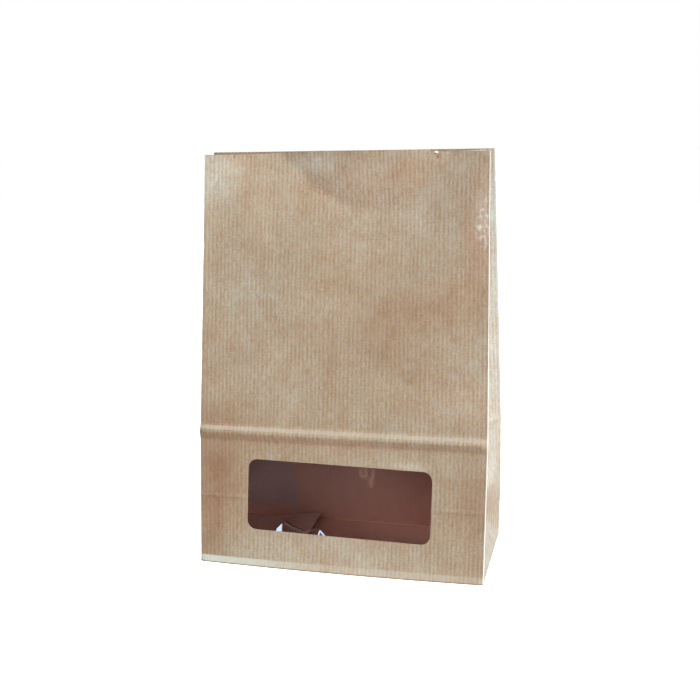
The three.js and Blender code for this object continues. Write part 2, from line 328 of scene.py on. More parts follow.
# Soft swellings and dents of the front wall: x, s, reach across, reach along and height, outwards
FRONT_DENTS = (
    (57.7, 254.6, 1.4, 0.9, 0.5),
    (58.3, 252.4, 1.0, 1.1, -0.4),
    (-70.6, 254.4, 1.0, 1.0, -0.3),
    (40, 65.5, 9, 3.6, 0.8),
)

# Small dents in the left fold: s, reach and depth
EDGE_DENTS = (
    (198.5, 3.0, 0.25),
    (131.1, 2.6, 0.2),
)

# The faint crease at the height of the gussets' apexes, seen on both sides of the window
SIDE_CREASE_AT = 42.8
SIDE_CREASE_REACH = 1.6
SIDE_CREASE_OUT = 0.35
SIDE_CREASE_FROM = 57
SIDE_CREASE_TO = 63
SIDE_CREASE_FADE = 2

# The crease across each gusset at the height of its apex
GUSSET_CREASE_OUT = 2.2
GUSSET_CREASE_REACH = 16
GUSSET_CREASE_FADE = 12

# How much higher the ridge stands on the front wall than at the folds
FRONT_RIDGE_EXTRA = 0.8
FRONT_RIDGE_FADE = 4
GUSSET_RIDGE_FADE = (0.5, 6)

# The gusset's flanks stand off their folds: how far, between which distances from the fold and places up
FOLD_GAP = 0.3
GAP_STARTS = (0, 0.8)
GAP_ENDS = (2, 9)
GAP_GROWS = (60, 200)


def relief(u, s, crumple):
    """How far the paper stands out of its folded form."""
    to_fold = np.minimum.reduce([np.abs(u - fold) for fold in UPRIGHT_FOLDS])
    inside_panel = smoothstep(to_fold, 0, CRUMPLE_FADE_ACROSS) * smoothstep(s, 0, CRUMPLE_FADE_ALONG)
    swell = sum(share * soft_noise(u, s, across, along, seed) for across, along, seed, share in CRUMPLES)
    out = crumple * inside_panel * swell
    x = u - FRONT_MIDDLE
    on_front = np.abs(x) <= HALF_WIDTH
    for at_x, at_s, reach_x, reach_s, height in FRONT_DENTS:
        out = out + on_front * height * bump(x, s, at_x, at_s, reach_x, reach_s)
    for at_s, reach, depth in EDGE_DENTS:
        out = out - depth * bump(u, s, FRONT_LEFT, at_s, reach, reach)
    crease = np.maximum(0, 1 - np.abs(s - SIDE_CREASE_AT) / SIDE_CREASE_REACH)
    beside = smoothstep(np.abs(x), SIDE_CREASE_FROM, SIDE_CREASE_TO)
    out = out + on_front * smoothstep(to_fold, 0, SIDE_CREASE_FADE) * (SIDE_CREASE_OUT * beside * crease)
    out = out + on_front * smoothstep(to_fold, 0, FRONT_RIDGE_FADE) * FRONT_RIDGE_EXTRA * ridge(s)
    return out + gusset_relief(u, s, to_fold)


def gusset_relief(u, s, to_fold):
    """The gussets' ridge, the crease at their apexes, and how they stand off the folds."""
    on_gusset = (np.abs(u - INNER_FOLDS[0]) < HALF_DEPTH) | (np.abs(u - INNER_FOLDS[1]) < HALF_DEPTH)
    belt = RIDGE_HEIGHT * smoothstep(to_fold, *GUSSET_RIDGE_FADE) * ridge(s)
    from_fold = np.minimum(to_fold, HALF_DEPTH - LAST_STEP)
    crease_above = np.maximum(0, 1 - (s - HALF_DEPTH) / GUSSET_CREASE_REACH)
    crease_below = np.clip((s - from_fold) / (HALF_DEPTH - from_fold), 0, 1)
    crease = np.where(s > HALF_DEPTH, crease_above, crease_below)
    crease = GUSSET_CREASE_OUT * smoothstep(to_fold, 0, GUSSET_CREASE_FADE) * crease
    apart = FOLD_GAP * smoothstep(to_fold, *GAP_STARTS) * (1 - smoothstep(to_fold, *GAP_ENDS))
    return on_gusset * (belt + crease + apart * smoothstep(s, *GAP_GROWS))


# ---------------------------------------------------------------- making meshes


def deselect_all():
    if bpy.context.object and bpy.context.object.mode != "OBJECT":
        bpy.ops.object.mode_set(mode="OBJECT")
    bpy.ops.object.select_all(action="DESELECT")


def activate(piece):
    deselect_all()
    piece.select_set(True)
    bpy.context.view_layer.objects.active = piece


def steps_from_fold(reach, cell):
    """Distances from a fold: fine ones first, then even cells up to the middle of the depth, then cells."""
    last = HALF_DEPTH - LAST_STEP
    to_middle = [*FINE_STEPS, *np.arange(CELL, last, CELL), last, HALF_DEPTH]
    if reach <= HALF_DEPTH:
        return to_middle
    count = max(1, round((reach - HALF_DEPTH) / cell))
    return to_middle + [HALF_DEPTH + (reach - HALF_DEPTH) * (k + 1) / count for k in range(count)]


def sheet_columns():
    """Every u of the flat sheet, left to right."""
    columns = set()
    for fold, side, reach, cell in (
        (BACK_LEFT, -1, BACK_LEFT, COARSE_CELL),
        (BACK_LEFT, 1, HALF_DEPTH, CELL),
        (FRONT_LEFT, -1, HALF_DEPTH, CELL),
        (FRONT_LEFT, 1, HALF_WIDTH, CELL),
        (FRONT_RIGHT, -1, HALF_WIDTH, CELL),
        (FRONT_RIGHT, 1, HALF_DEPTH, CELL),
        (BACK_RIGHT, -1, HALF_DEPTH, CELL),
        (BACK_RIGHT, 1, SHEET_END - BACK_RIGHT, COARSE_CELL),
    ):
        columns.update(round(fold + side * step, 3) for step in steps_from_fold(reach, cell))
    for x in NICKS:
        columns.update(FRONT_MIDDLE + x + offset for offset in NICK_COLUMNS)
    return sorted(columns)


def sheet_rows():
    """Every s of the flat sheet, from the cut edge of the flaps up to the mouth."""
    flap = steps_from_fold(FLAP_LENGTH, CELL)
    creases = [FOOT_CREASE, *(SIDE_CREASE_AT + offset for offset in SIDE_CREASE_ROWS)]
    low = steps_from_fold(HALF_DEPTH, CELL) + creases
    belt = [RIDGE_AT + offset for offset in RIDGE_ROWS]
    between = np.arange(SIDE_CREASE_AT + ABOVE_SIDE_CREASE, belt[0] - BELOW_RIDGE_ROWS, ROW_CELL)
    top = [WALL_LENGTH - step for step in (0, *EDGE_ROWS)]
    count = round((top[-1] - belt[-1]) / ROW_CELL)
    above = np.linspace(belt[-1], top[-1], count + 1)[1:-1]
    rows = [-step for step in flap] + low + list(between) + belt + list(above) + top
    return sorted({round(float(row), 3) for row in rows})


def lay_grid(name, columns, rows):
    """A flat grid with these columns and rows, in millimetres, and the places of its points."""
    deselect_all()
    bpy.ops.mesh.primitive_grid_add(x_subdivisions=len(columns) - 1, y_subdivisions=len(rows) - 1, size=1)
    piece = bpy.context.object
    piece.name = piece.data.name = name
    if len(piece.data.vertices) != len(columns) * len(rows):
        raise RuntimeError("the grid hasn't these rows and columns")
    places = np.array([(across, up, 0) for up in rows for across in columns])
    piece.data.vertices.foreach_set("co", places.ravel())
    piece.data.update()
    return piece


def select_faces(piece, wanted):
    """In edit mode, selects the faces whose middle the function wants. True if there are any."""
    bpy.ops.object.mode_set(mode="OBJECT")
    middles = np.empty(len(piece.data.polygons) * 3)
    piece.data.polygons.foreach_get("center", middles)
    middles = middles.reshape(-1, 3)
    chosen = wanted(middles[:, 0], middles[:, 1])
    for kind in (piece.data.vertices, piece.data.edges):
        kind.foreach_set("select", np.full(len(kind), False))
    piece.data.polygons.foreach_set("select", chosen)
    bpy.ops.object.mode_set(mode="EDIT")
    bpy.ops.mesh.select_mode(type="FACE")
    return bool(chosen.any())


def cut_flap_ends(sheet):
    """Cuts the ends of the front and back flaps: at 45 degrees from the corner to the middle of the
    depth, then straight."""
    activate(sheet)
    for corner, side in ((BACK_LEFT, -1), (FRONT_LEFT, 1), (FRONT_RIGHT, -1), (BACK_RIGHT, 1)):

        def beside(u, nearest):
            away = side * (u - corner)
            return (away > nearest) & (away < HALF_DEPTH)

        if select_faces(sheet, lambda u, s: beside(u, 0) & (s < 0) & (s > -HALF_DEPTH)):
            bpy.ops.mesh.bisect(plane_co=(corner, 0, 0), plane_no=(-side, -1, 0), clear_outer=True)
        if select_faces(sheet, lambda u, s: beside(u, -FINE_STEPS[1]) & (s < -HALF_DEPTH)):
            bpy.ops.mesh.delete(type="FACE")
    bpy.ops.object.mode_set(mode="OBJECT")


def write_paper_map(piece, places):
    """The UV map that the ribs follow: the flat sheet's own place, in metres."""
    layer = piece.data.uv_layers.new(name="paper")
    corners = np.empty(len(piece.data.loops), dtype=int)
    piece.data.loops.foreach_get("vertex_index", corners)
    layer.data.foreach_set("uv", (places[corners] * MM).ravel())
    for other in [other for other in piece.data.uv_layers if other.name != layer.name]:
        piece.data.uv_layers.remove(other)


def vertex_array(piece, attribute="co"):
    values = np.empty(len(piece.data.vertices) * 3)
    if attribute == "co":
        piece.data.vertices.foreach_get("co", values)
    else:
        piece.data.vertex_normals.foreach_get("vector", values)
    return values.reshape(-1, 3)


def fold_sheet(sheet, crumple):
    """Folds the flat sheet into the bag."""
    flat = vertex_array(sheet)[:, :2]
    write_paper_map(sheet, flat)
    u, s = flat[:, 0], flat[:, 1]
    sheet.data.vertices.foreach_set("co", folded(u, s).ravel())
    sheet.data.update()
    normals = vertex_array(sheet, "normal")
    places = vertex_array(sheet) + normals * relief(u, s, crumple)[:, None]
    for from_front, lift in ((FRONT_LEFT - u, FLAP_LIFT_LEFT), (u - FRONT_RIGHT, FLAP_LIFT_RIGHT)):
        on_side = (from_front > 0) & (from_front < DEPTH)
        to_back = smoothstep(from_front, FLAP_LIFT_FROM, DEPTH)
        places[:, 2] += on_side * lift * to_back * smoothstep(-s, FLAP_LIFT_FROM, FLAP_LENGTH)
    sheet.data.vertices.foreach_set("co", (places * MM).ravel())
    sheet.data.update()


def apply_modifier(piece, kind, **settings):
    activate(piece)
    modifier = piece.modifiers.new(kind.title(), kind)
    for setting, value in settings.items():
        setattr(modifier, setting, value)
    bpy.ops.object.modifier_apply(modifier=modifier.name)


def window_place():
    """The window's frame: its middle on the outer face, x across, y up the wall, z out of it."""
    slope = math.asin(FRONT_LEAN / WALL_LENGTH)
    middle = front_point(np.array([WINDOW_X]), np.array([WINDOW_S]))[0] * MM
    across = Vector((1, 0, 0))
    up = Vector((0, math.sin(slope), math.cos(slope)))
    out = across.cross(up)
    turned = Matrix((across, up, out)).transposed().to_4x4()
    return Matrix.Translation(Vector(middle)) @ turned @ Matrix.Rotation(WINDOW_TURN, 4, "Z")


def window_cutter(settings):
    """A block with the window's rounded outline, through the front wall."""
    deselect_all()
    bpy.ops.mesh.primitive_cube_add(size=1)
    cutter = bpy.context.object
    cutter.scale = (settings.window_width, settings.window_height, CUTTER_DEPTH * MM)
    bpy.ops.object.transform_apply(location=False, rotation=False, scale=True)
    bpy.ops.object.mode_set(mode="EDIT")
    bpy.ops.mesh.select_all(action="DESELECT")
    bpy.ops.object.mode_set(mode="OBJECT")
    for edge in cutter.data.edges:
        ends = [cutter.data.vertices[index].co for index in edge.vertices]
        edge.select = abs(ends[0].z - ends[1].z) > MM
    bpy.ops.object.mode_set(mode="EDIT")
    bpy.ops.mesh.select_mode(type="EDGE")
    bpy.ops.mesh.bevel(offset=settings.window_radius, segments=WINDOW_CORNER_STEPS, profile=0.5)
    bpy.ops.object.mode_set(mode="OBJECT")
    cutter.data.transform(window_place())
    return cutter


def cut_window(bag, settings):
    cutter = window_cutter(settings)
    apply_modifier(bag, "BOOLEAN", operation="DIFFERENCE", solver="MANIFOLD", object=cutter)
    bpy.data.objects.remove(cutter)


# ---------------------------------------------------------------- the film's form

# Where the film is crinkled, in millimetres from its middle: the crest of the pucker at its bottom edge,
# its bright face and its bright arch, which are painted glints, and three smears near its top edge
PUCKER = ((-33.4, -16.9), (-28.9, -19.2), (-22.8, -20.8), (-20.2, -21.8), (-16.9, -20.3), (-13, -18.6))
PUCKER_REACH = 1.1
PUCKER_DEPTH = 0.9
CREST_REACH = 0.35
CREST_STRENGTH = 0.12
GLINT_FACE = ((-39.4, -25), (-38.9, -20.6), (-35.6, -17.4), (-35.2, -19.8), (-35.8, -25))
GLINT_ARCH = ((-11.5, -25), (-11.5, -21.6), (-10.9, -19.6), (-9.4, -21), (-7.8, -22.6))
GLINT_ARCH_EDGE = (0.27, 0.63)
GLINT_STRENGTH = 0.9
SMEARS = (
    ((14.2, 20.5), (13.4, 18.4), (14.6, 16.6), (16.6, 16.4), (17.6, 18.2), (16.6, 20.2)),
    ((21.4, 20.5), (21.6, 17.5), (20.4, 14.5), (20.8, 11.5)),
    ((19.5, 14.5), (20.6, 10.8)),
)
SMEAR_REACH = 1.2
SMEAR_STRENGTH = 0.11

# The film's cells, fine where it is crinkled, and its gap behind the paper
FILM_CELL = 1.5
FILM_FINE_CELL = 0.4
FILM_FINE_ACROSS = (-42, 28)
FILM_FINE_UP = (-24, -15)
FILM_GAP = 0.15
FAR_AWAY = 1000.0


def near_line(across, up, points):
    """The distance of every place from a line through these points."""
    nearest = np.full_like(across, FAR_AWAY)
    for (x0, y0), (x1, y1) in zip(points, points[1:]):
        length = math.hypot(x1 - x0, y1 - y0)
        along = ((across - x0) * (x1 - x0) + (up - y0) * (y1 - y0)) / length**2
        along = np.clip(along, 0, 1)
        nearest = np.minimum(nearest, np.hypot(across - lerp(x0, x1, along), up - lerp(y0, y1, along)))
    return nearest


def crest(across, up, points, reach):
    """1 along a line through these points, fading to 0 beside it."""
    return np.exp(-((near_line(across, up, points) / reach) ** 2))


def in_corners(across, up, corners):
    """True where a place is inside these corners, which go round clockwise."""
    inside = np.full(across.shape, True)
    for (x0, y0), (x1, y1) in zip(corners, (*corners[1:], corners[0])):
        inside &= (x1 - x0) * (up - y0) - (y1 - y0) * (across - x0) <= 0
    return inside


def film_sag(across, up, half_wide, half_high, slack):
    """How far the film stands back from flat, in millimetres: slack in the middle, and puckered below."""
    inside_x = np.clip(1 - (across / half_wide) ** 2, 0, 1)
    inside_y = np.clip(1 - (up / half_high) ** 2, 0, 1)
    return slack * inside_x * inside_y + PUCKER_DEPTH * crest(across, up, PUCKER, PUCKER_REACH)


def film_glints_and_smears(across, up):
    """How white the film is where it is crinkled or smeared, from 0 to 1. On the bright face and arch this is
    a painted glint.
    """
    pucker = CREST_STRENGTH * crest(across, up, PUCKER, CREST_REACH)
    face = np.where(in_corners(across, up, GLINT_FACE), GLINT_STRENGTH, 0)
    arch = GLINT_STRENGTH * (1 - smoothstep(near_line(across, up, GLINT_ARCH), *GLINT_ARCH_EDGE))
    smears = [SMEAR_STRENGTH * crest(across, up, line, SMEAR_REACH) for line in SMEARS]
    return np.maximum.reduce([pucker, face, arch, *smears])


def film_steps(half, fine_from, fine_to):
    """Places across the film: fine between these two, coarse elsewhere."""
    steps = {-half, half}
    steps.update(np.arange(-half, half, FILM_CELL))
    steps.update(np.arange(fine_from, fine_to, FILM_FINE_CELL))
    return sorted({round(float(step), 2) for step in steps})


# ---------------------------------------------------------------- materials

# The paper's noises: cells across and up the sheet in millimetres, detail and strength
PAPER_NOISES = (
    ((1.1, 4.5), 1, 1.0),
    ((3.0, 1.0), 1, 0.5),
    ((0.9, 1.3), 1, 0.9),
    ((9, 14), 2, 0.9),
    ((34, 46), 1, 0.5),
)

# The ribs: their contrast, how far and in which cells they wander, and how their strength varies
RIB_CONTRAST = 0.2
RIB_WANDER = 1.6
RIB_WANDER_CELLS = (9, 60)
RIB_STRENGTH_CELLS = (5, 14)
RIB_STRENGTH = (0.5, 1.3)

# How the hue drifts: cells across and up the sheet in millimetres, and the colours at both ends.
# The inside has only the last.
HUE_NOISES = (
    ((1.3, 2.8), (0.82, 1.0, 1.26), (1.18, 1.0, 0.76)),
    ((1.6, 3.2), (1.0, 1.2, 1.0), (1.0, 0.82, 1.0)),
    ((14, 20), (0.97, 1.0, 1.05), (1.03, 1.0, 0.95)),
)

# Painted light and shade: where the front is paler, darker or warmer as light falls on its dents, lip and
# ridge: x, s, reach across and along, paleness and warmth
FRONT_LIGHT_AND_SHADE = (
    (-72, 68, 26, 24, -0.07, 0),
    (5, 84, 70, 9, -0.05, -0.02),
    (60, 50, 30, 30, -0.03, -0.02),
    (-84, 243, 14, 18, 0.42, 0),
    (-20, 248, 14, 7, 0.46, 0),
    (6, 238, 28, 16, 0.22, 0.2),
    (43, 244, 12, 8, -0.20, 0.1),
    (52, 212, 30, 14, 0.16, 0),
    (-30, 200, 22, 20, -0.16, -0.1),
    (-8, 180, 16, 12, -0.14, 0),
    (22, 152, 19, 24, -0.26, 0.05),
    (60, 165, 22, 14, -0.26, 0.1),
    (82, 200, 8, 30, -0.1, 0.15),
    (-60, 168, 26, 14, 0.15, -0.1),
    (40, 124, 20, 10, -0.08, 0),
    (72, 112, 22, 14, 0.15, 0.1),
    (-76, 95, 20, 10, -0.14, 0),
    (-80, 50, 17, 36, -0.44, 0.1),
    (-86, 13, 9, 8, -0.30, 0),
    (-50, 10, 22, 7, 0.12, -0.1),
    (82, 47, 13, 22, -0.32, 0.1),
    (60, 22, 20, 10, 0.06, 0),
    (-10, 14, 60, 11, 0.13, 0),
    (40, 68.5, 11, 2.4, 0.24, 0),
    (0, 79.6, 90, 2.4, -0.05, 0.3),
)

# The same painted light and shade on the right gusset, with the distance from its front fold
GUSSET_LIGHT_AND_SHADE = (
    (68, 27, 20, 13, -0.24, 0),
    (50, 6, 40, 9, -0.10, 0),
    (72, 220, 30, 60, 0.24, 0),
    (66, 120, 30, 40, 0.09, 0),
)
LIGHT_AND_SHADE_HUE = (0.62, 1.0, 1.35)
WARMTH_HUE = (0.35, -0.25, -0.45)
PATCH_WANDER = 9
PATCH_WANDER_CELLS = (16, 22)
# The bluish whitening of the gussets, a painted sheen
GUSSET_PAINTED_SHEEN = (0.97, 1.07, 1.2)

# Whitish strips across the front: along the foot partly worn paper and partly painted light, above the ridge
# a painted highlight; from and up to s, and how white at the left and from the middle on
HIGHLIGHT_STRIPS = (
    (0.6, 4.4, 0.9, 0.2),
    (85.2, 87.4, 0.35, 0.22),
)
HIGHLIGHT_STRIP_COLOUR = (0.355, 0.36, 0.305)
STRIP_SOFTNESS = 0.4

# Small marks on the front: u, s, reach across and along. The pale mark on the crumpled nick is a painted
# highlight, the dark marks in the two nicks are painted shadows and the last is a dark fleck; the line at the
# foot is a painted shadow under the bottom fold
NICK_HIGHLIGHT = (FRONT_MIDDLE + 57.4, 254.6, 1.2, 0.6)
NICK_HIGHLIGHT_STRENGTH = 1.6
NICK_SHADOWS_AND_FLECK = (
    (FRONT_MIDDLE + 58.1, 251.8, 0.9, 1.5),
    (FRONT_MIDDLE - 70.6, 253.6, 0.6, 1.3),
    (FRONT_MIDDLE, 128.7, 0.35, 1.0),
)
SHADOW_AND_MARK_COLOUR = (0.16, 0.07, 0.04)
FOOT_SHADOW = (0.6, 1.0)
FOOT_SHADOW_STRENGTH = 0.7

# The scuffed place near the right fold, in the fibres' cells, and the worn line along each upright fold,
# which is also a painted highlight on the rounded fold
SCUFF = (FRONT_MIDDLE + 86, 213, 4, 14)
SCUFF_CELLS = (2, 3)
SCUFF_WEAR = (0.1, 0.6)
FOLD_WEAR_AND_HIGHLIGHT = (0.2, 0.9)

# On the inside, whose brighter, redder tones are painted light for the light through the paper: from where
# the outside's colours show at the mouth, the pale line along the bottom folds beside the seam, the painted
# light on the left flap, and the painted shade on the left side
MOUTH_FADE = (205, 240)
INSIDE_LINE_AT = -0.8
INSIDE_LINE = (1, 2)
INSIDE_LINE_ENDS = (28, 40)
INSIDE_LINE_STARTS = (BACK_RIGHT + 40, BACK_RIGHT + 55)
INSIDE_LINE_COLOUR = (1.0, 0.72, 0.48)
LEFT_FLAP_PAINTED_LIGHT = (1.04, 1.3, 1.4)
LEFT_SHADE_FROM = 57
LEFT_SHADE_BOTTOM = (6, 12)
LEFT_SHADE_TOP = (90, 130)
LEFT_SHADE_TINT = (0.84, 1.05, 1.22)

# The paper's finish
FIBRE_CELLS = (0.7, 1.8)
FIBRE_ROUGHNESS = 0.6
PAPER_ROUGHNESS = (0.53, 0.61)
PAPER_IOR = 1.55
PAPER_GLOSS = 0.5
RIB_RELIEF = 0.35
BUMP_STRENGTH = 0.35
BUMP_DEPTH = 0.05

# The film's finish
FILM_IOR = 1.4
FILM_ROUGHNESS = 0.12
HAZE_CELLS = (22, 30)
HAZE = 0.012
SMEAR_COLOUR = (0.55, 0.30, 0.22)
# The colour of the film's glints, a painted reflection
GLINT_COLOUR = (0.40, 0.47, 0.60)
SMEAR_ROUGHNESS = 0.7

FLOOR_ROUGHNESS = 0.9
WHITE = (1, 1, 1)


class Shading:
    """Adds nodes to one material and joins them."""

    def __init__(self, name):
        self.material = bpy.data.materials.new(name)
        self.material.use_nodes = True
        self.tree = self.material.node_tree
        self.tree.nodes.clear()
        self.output = self.add("ShaderNodeOutputMaterial")

    def add(self, kind, inputs=(), **settings):
        node = self.tree.nodes.new(kind)
        for setting, value in settings.items():
            setattr(node, setting, value)
        for socket, value in dict(inputs).items():
            self.put(node.inputs[socket], value)
        return node

    def put(self, socket, value):
        if isinstance(value, bpy.types.NodeSocket):
            self.tree.links.new(value, socket)
        elif socket.type == "RGBA":
            socket.default_value = (*value, 1)
        else:
            socket.default_value = value

    def finish(self, surface):
        self.put(self.output.inputs[0], surface)
        return self.material

    def math(self, operation, first, second=0.0, third=0.0, clamp=False):
        values = {0: first, 1: second, 2: third}
        return self.add("ShaderNodeMath", values, operation=operation, use_clamp=clamp).outputs[0]

    def mix(self, share, first, second, blend="MIX"):
        node = self.add("ShaderNodeMix", data_type="RGBA", blend_type=blend, clamp_factor=True)
        for socket, value in ((0, share), (6, first), (7, second)):
            self.put(node.inputs[socket], value)
        return node.outputs[2]

    def tint(self, colour, by, share=1.0):
        return self.mix(share, colour, by, blend="MULTIPLY")

    def ramp(self, value, low, high, to_low=0.0, to_high=1.0):
        inputs = {"Value": value, "From Min": low, "From Max": high, "To Min": to_low, "To Max": to_high}
        return self.add("ShaderNodeMapRange", inputs, interpolation_type="SMOOTHSTEP").outputs["Result"]

    def rise(self, place, low, high):
        """0 below the first of these millimetres and 1 above the second, at a place in metres."""
        return self.ramp(place, low * MM, high * MM)

    def fall(self, place, low, high):
        """1 below the first of these millimetres and 0 above the second, at a place in metres."""
        return self.ramp(place, low * MM, high * MM, 1.0, 0.0)

    def between(self, place, low, high):
        """1 where a place in metres is between these two in millimetres, and 0 outside."""
        above = self.rise(place, low - STRIP_SOFTNESS, low + STRIP_SOFTNESS)
        below = self.fall(place, high - STRIP_SOFTNESS, high + STRIP_SOFTNESS)
        return self.math("MULTIPLY", above, below)

    def distance(self, place, at):
        """How far a place in metres is from this one in millimetres."""
        return self.math("ABSOLUTE", self.math("SUBTRACT", place, at * MM))

    def noise(self, vector, cells, detail=2.0, roughness=0.5):
        """Noise with cells of these sizes, in millimetres, on a vector in metres."""
        scale = [1 / (size * MM) for size in (*cells, 1)]
        place = self.add("ShaderNodeVectorMath", {0: vector, 1: scale}, operation="MULTIPLY").outputs[0]
        inputs = {"Vector": place, "Scale": 1.0, "Detail": detail, "Roughness": roughness}
        return self.add("ShaderNodeTexNoise", inputs).outputs["Fac"]

    def oval(self, u, s, mark):
        """The square of how far a place is from the middle of an oval mark, 1 on its outline."""
        at_u, at_s, reach_u, reach_s = mark
        across = self.math("MULTIPLY_ADD", u, 1 / (reach_u * MM), -at_u / reach_u)
        along = self.math("MULTIPLY_ADD", s, 1 / (reach_s * MM), -at_s / reach_s)
        return self.math("MULTIPLY_ADD", across, across, self.math("MULTIPLY", along, along))

    def spot(self, u, s, mark):
        """1 in the middle of a small oval mark, and 0 outside it."""
        return self.ramp(self.math("SQRT", self.oval(u, s, mark)), 0.5, 1.1, 1.0, 0.0)

    def hill(self, u, s, mark):
        """1 in the middle of a soft oval patch, fading to 0 round it."""
        return self.math("EXPONENT", self.math("MULTIPLY", self.oval(u, s, mark), -1))


def kraft_tone(shading, place, rib_pitch):
    """The ribs, and the paper's tone: from 0, the darkest, to 1, the palest, with fibres and clouds."""
    across = shading.add("ShaderNodeSeparateXYZ", {0: place}).outputs[0]
    wander = shading.noise(place, RIB_WANDER_CELLS, detail=1)
    shifted = shading.math("MULTIPLY_ADD", wander, RIB_WANDER * MM, across)
    wave = shading.math("SINE", shading.math("MULTIPLY", shifted, 2 * math.pi / rib_pitch))
    strength = shading.ramp(shading.noise(place, RIB_STRENGTH_CELLS), 0.3, 0.7, *RIB_STRENGTH)
    rib = shading.math("MULTIPLY", wave, strength)
    tone = shading.math("MULTIPLY_ADD", rib, RIB_CONTRAST, 0.5)
    for cells, detail, amount in PAPER_NOISES:
        centred = shading.math("SUBTRACT", shading.noise(place, cells, detail=detail), 0.5)
        tone = shading.math("MULTIPLY_ADD", centred, amount, tone)
    return rib, shading.math("MINIMUM", shading.math("MAXIMUM", tone, 0), 1)


def light_and_shade_colour(shading, place, u, s):
    """The colour that patches of painted light and shade multiply the paper by. All but the small ones
    wander.
    """
    wandering = []
    for axis, seed in ((u, 0), (s, 1)):
        offset = {0: place, 1: (0, 0, seed * MM)}
        moved = shading.add("ShaderNodeVectorMath", offset, operation="ADD").outputs[0]
        drift = shading.math("SUBTRACT", shading.noise(moved, PATCH_WANDER_CELLS, detail=2), 0.5)
        wandering.append(shading.math("MULTIPLY_ADD", drift, 2 * PATCH_WANDER * MM, axis))
    patches = [(FRONT_MIDDLE + x, *rest) for x, *rest in FRONT_LIGHT_AND_SHADE]
    patches += [(FRONT_RIGHT + t, *rest) for t, *rest in GUSSET_LIGHT_AND_SHADE]
    pale = warm = 0.0
    for *mark, paleness, warmth in patches:
        small = min(mark[2:]) < PATCH_WANDER
        hill = shading.hill(*((u, s) if small else wandering), mark)
        pale = shading.math("MULTIPLY_ADD", hill, paleness, pale)
        if warmth:
            warm = shading.math("MULTIPLY_ADD", hill, warmth, warm)
    channels = []
    for pale_share, warm_share in zip(LIGHT_AND_SHADE_HUE, WARMTH_HUE):
        power = shading.math("MULTIPLY_ADD", pale, pale_share, shading.math("MULTIPLY", warm, warm_share))
        channels.append(shading.math("EXPONENT", power))
    inputs = dict(zip(("Red", "Green", "Blue"), channels))
    return shading.add("ShaderNodeCombineColor", inputs).outputs[0]


def paint_outside(shading, colour, place, u, s):
    """The outside's patches of painted light and shade, its whitish strips and the painted sheen of the
    gussets.
    """
    colour = shading.tint(colour, light_and_shade_colour(shading, place, u, s))
    from_left = shading.rise(u, FRONT_LEFT, FRONT_MIDDLE)
    on_front = shading.between(u, FRONT_LEFT, FRONT_RIGHT)
    # Painted highlight above the ridge, and worn paper with painted light along the foot
    for low, high, left, right in HIGHLIGHT_STRIPS:
        strip = shading.math("MULTIPLY", shading.between(s, low, high), on_front)
        white = shading.math("MULTIPLY_ADD", from_left, right - left, left)
        colour = shading.mix(shading.math("MULTIPLY", strip, white), colour, HIGHLIGHT_STRIP_COLOUR)
    # Painted sheen: the gussets made whiter and bluer
    for fold in INNER_FOLDS:
        on_gusset = shading.fall(shading.distance(u, fold), HALF_DEPTH - LAST_STEP, HALF_DEPTH)
        colour = shading.tint(colour, GUSSET_PAINTED_SHEEN, on_gusset)
    return colour


def mark_outside(shading, colour, u, s):
    """The painted shadow line at the foot, the painted shadows in the two nicks and a dark fleck."""
    dark = shading.ramp(shading.distance(s, 0), *(end * MM for end in FOOT_SHADOW), FOOT_SHADOW_STRENGTH, 0.0)
    for mark in NICK_SHADOWS_AND_FLECK:
        dark = shading.math("MAXIMUM", dark, shading.spot(u, s, mark))
    return shading.mix(dark, colour, SHADOW_AND_MARK_COLOUR)


def mark_inside(shading, colour, u, s):
    """The pale line along the bottom folds beside the seam, painted light on the left flap and painted shade
    on the left side.
    """
    line = shading.fall(shading.distance(s, INSIDE_LINE_AT), *INSIDE_LINE)
    by_seam = shading.math("ADD", shading.fall(u, *INSIDE_LINE_ENDS), shading.rise(u, *INSIDE_LINE_STARTS))
    colour = shading.mix(shading.math("MULTIPLY", line, by_seam), colour, INSIDE_LINE_COLOUR)
    # Painted light on the lifted left flap, then painted shade on the left side
    below = shading.between(s, -FLAP_LENGTH, 0)
    flap = shading.math("MULTIPLY", shading.between(u, BACK_LEFT, FRONT_LEFT), below)
    colour = shading.tint(colour, LEFT_FLAP_PAINTED_LIGHT, flap)
    dim = shading.math("MULTIPLY", shading.between(u, LEFT_SHADE_FROM, FRONT_LEFT), shading.rise(s, *LEFT_SHADE_BOTTOM))
    dim = shading.math("MULTIPLY", dim, shading.fall(s, *LEFT_SHADE_TOP))
    return shading.tint(colour, LEFT_SHADE_TINT, dim)


def wear_and_highlights(shading, place, u, s):
    """How worn and lit the paper is: worn along the upright folds with a painted highlight there too, a
    painted highlight on the nick, and where it is scuffed.
    """
    wear = 0.0
    for fold in UPRIGHT_FOLDS:
        wear = shading.math("MAXIMUM", wear, shading.fall(shading.distance(u, fold), *FOLD_WEAR_AND_HIGHLIGHT))
    highlight_on_nick = shading.math("MULTIPLY", shading.spot(u, s, NICK_HIGHLIGHT), NICK_HIGHLIGHT_STRENGTH)
    wear = shading.math("MAXIMUM", wear, highlight_on_nick)
    fibres = shading.ramp(shading.noise(place, SCUFF_CELLS, detail=2), 0.48, 0.68, *SCUFF_WEAR)
    return shading.math("MAXIMUM", wear, shading.math("MULTIPLY", shading.hill(u, s, SCUFF), fibres))


